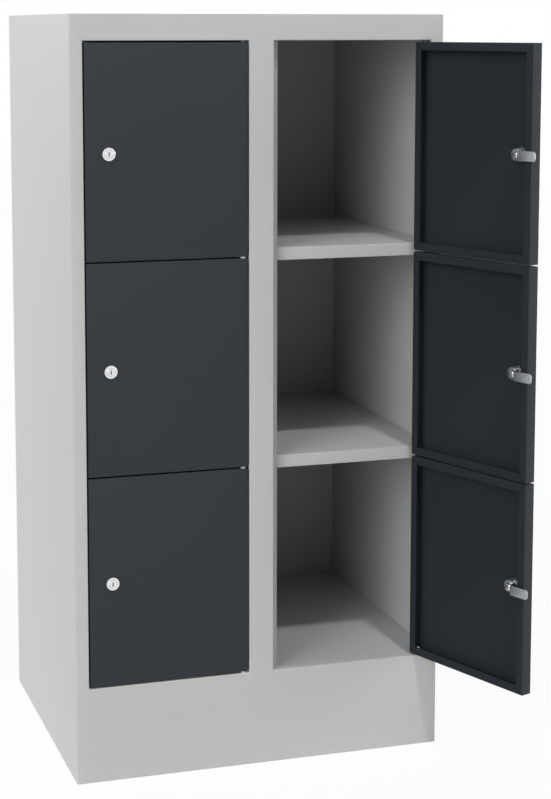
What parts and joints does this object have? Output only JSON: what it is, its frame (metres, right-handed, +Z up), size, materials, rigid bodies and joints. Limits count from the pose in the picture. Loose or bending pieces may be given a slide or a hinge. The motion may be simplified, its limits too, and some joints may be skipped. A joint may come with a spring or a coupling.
{
  "type": "compartment locker",
  "caption": "Steel locker with two columns of hinged, cam-locked compartments over a closed plinth.",
  "frame": {"origin": "on the underside of the plinth's foot return, at the middle of the width and of the foot", "axes": "+X to the right seen from the front, +Y from the doors to the back, +Z up"},
  "size_m": [0.6608, 0.748, 1.19],
  "materials": {
    "body_paint": "smooth light grey powder coat",
    "door_paint": "smooth charcoal powder coat",
    "lock_bright": "bright nickel plating",
    "lock_steel": "zinc-plated pressed steel",
    "pivot_nylon": "white moulded nylon"
  },
  "bodies": {
    "carcass": {"side_panel_left": "body_paint", "side_panel_right": "body_paint", "centre_post": "body_paint", "centre_partition": "body_paint", "base_pan": "body_paint", "floor_cleat_left": "body_paint", "floor_cleat_right": "body_paint", "top_rail": "body_paint", "top_panel": "body_paint", "back_panel": "body_paint", "shelf_left_lower": "body_paint", "shelf_left_middle": "body_paint", "shelf_right_lower": "body_paint", "shelf_right_middle": "body_paint", "pivot_left_foot": "pivot_nylon", "pivot_left_lower": "pivot_nylon", "pivot_left_middle": "pivot_nylon", "pivot_left_head": "pivot_nylon", "pivot_right_foot": "pivot_nylon", "pivot_right_lower": "pivot_nylon", "pivot_right_middle": "pivot_nylon", "pivot_right_head": "pivot_nylon"},
    "door_left_lower": {"door_left_lower": "door_paint", "lock_housing_left_lower": "lock_bright", "lock_nut_left_lower": "lock_steel"},
    "cam_left_lower": {"lock_plug_left_lower": "lock_bright", "lock_cam_left_lower": "lock_steel", "cam_screw_left_lower": "lock_steel"},
    "door_left_middle": {"door_left_middle": "door_paint", "lock_housing_left_middle": "lock_bright", "lock_nut_left_middle": "lock_steel"},
    "cam_left_middle": {"lock_plug_left_middle": "lock_bright", "lock_cam_left_middle": "lock_steel", "cam_screw_left_middle": "lock_steel"},
    "door_left_upper": {"door_left_upper": "door_paint", "lock_housing_left_upper": "lock_bright", "lock_nut_left_upper": "lock_steel"},
    "cam_left_upper": {"lock_plug_left_upper": "lock_bright", "lock_cam_left_upper": "lock_steel", "cam_screw_left_upper": "lock_steel"},
    "door_right_lower": {"door_right_lower": "door_paint", "lock_housing_right_lower": "lock_bright", "lock_nut_right_lower": "lock_steel"},
    "cam_right_lower": {"lock_plug_right_lower": "lock_bright", "lock_cam_right_lower": "lock_steel", "cam_screw_right_lower": "lock_steel"},
    "door_right_middle": {"door_right_middle": "door_paint", "lock_housing_right_middle": "lock_bright", "lock_nut_right_middle": "lock_steel"},
    "cam_right_middle": {"lock_plug_right_middle": "lock_bright", "lock_cam_right_middle": "lock_steel", "cam_screw_right_middle": "lock_steel"},
    "door_right_upper": {"door_right_upper": "door_paint", "lock_housing_right_upper": "lock_bright", "lock_nut_right_upper": "lock_steel"},
    "cam_right_upper": {"lock_plug_right_upper": "lock_bright", "lock_cam_right_upper": "lock_steel", "cam_screw_right_upper": "lock_steel"}
  },
  "joints": [
    {"name": "door_swing_left_lower", "type": "hinge", "parent": "carcass", "child": "door_left_lower", "pos_m": [-0.029, -0.0045, 0.1545], "axis": [0, 0, 1], "range_deg": [0, 110]},
    {"name": "cam_turn_left_lower", "type": "hinge", "parent": "door_left_lower", "child": "cam_left_lower", "pos_m": [-0.2413, -0.01, 0.31692], "axis": [0, 1, 0], "range_deg": [0, 90]},
    {"name": "door_swing_left_middle", "type": "hinge", "parent": "carcass", "child": "door_left_middle", "pos_m": [-0.029, -0.0045, 0.48633], "axis": [0, 0, 1], "range_deg": [0, 110]},
    {"name": "cam_turn_left_middle", "type": "hinge", "parent": "door_left_middle", "child": "cam_left_middle", "pos_m": [-0.2413, -0.01, 0.64875], "axis": [0, 1, 0], "range_deg": [0, 90]},
    {"name": "door_swing_left_upper", "type": "hinge", "parent": "carcass", "child": "door_left_upper", "pos_m": [-0.029, -0.0045, 0.81817], "axis": [0, 0, 1], "range_deg": [0, 110]},
    {"name": "cam_turn_left_upper", "type": "hinge", "parent": "door_left_upper", "child": "cam_left_upper", "pos_m": [-0.2413, -0.01, 0.98058], "axis": [0, 1, 0], "range_deg": [0, 90]},
    {"name": "door_swing_right_lower", "type": "hinge", "parent": "carcass", "child": "door_right_lower", "pos_m": [0.271, -0.0045, 0.1545], "axis": [0, 0, 1], "range_deg": [-110, 0]},
    {"name": "cam_turn_right_lower", "type": "hinge", "parent": "door_right_lower", "child": "cam_right_lower", "pos_m": [0.34878, -0.20212, 0.31692], "axis": [-0.9397, -0.342, 0], "range_deg": [-90, 0]},
    {"name": "door_swing_right_middle", "type": "hinge", "parent": "carcass", "child": "door_right_middle", "pos_m": [0.271, -0.0045, 0.48633], "axis": [0, 0, 1], "range_deg": [-110, 0]},
    {"name": "cam_turn_right_middle", "type": "hinge", "parent": "door_right_middle", "child": "cam_right_middle", "pos_m": [0.34878, -0.20212, 0.64875], "axis": [-0.9397, -0.342, 0], "range_deg": [-90, 0]},
    {"name": "door_swing_right_upper", "type": "hinge", "parent": "carcass", "child": "door_right_upper", "pos_m": [0.271, -0.0045, 0.81817], "axis": [0, 0, 1], "range_deg": [-110, 0]},
    {"name": "cam_turn_right_upper", "type": "hinge", "parent": "door_right_upper", "child": "cam_right_upper", "pos_m": [0.34878, -0.20212, 0.98058], "axis": [-0.9397, -0.342, 0], "range_deg": [-90, 0]}
  ],
  "couplings": [
    {"joint": "cam_turn_right_lower", "follows": "door_swing_right_lower", "ratio": 0.81818},
    {"joint": "cam_turn_right_middle", "follows": "door_swing_right_middle", "ratio": 0.81818},
    {"joint": "cam_turn_right_upper", "follows": "door_swing_right_upper", "ratio": 0.81818}
  ]
}
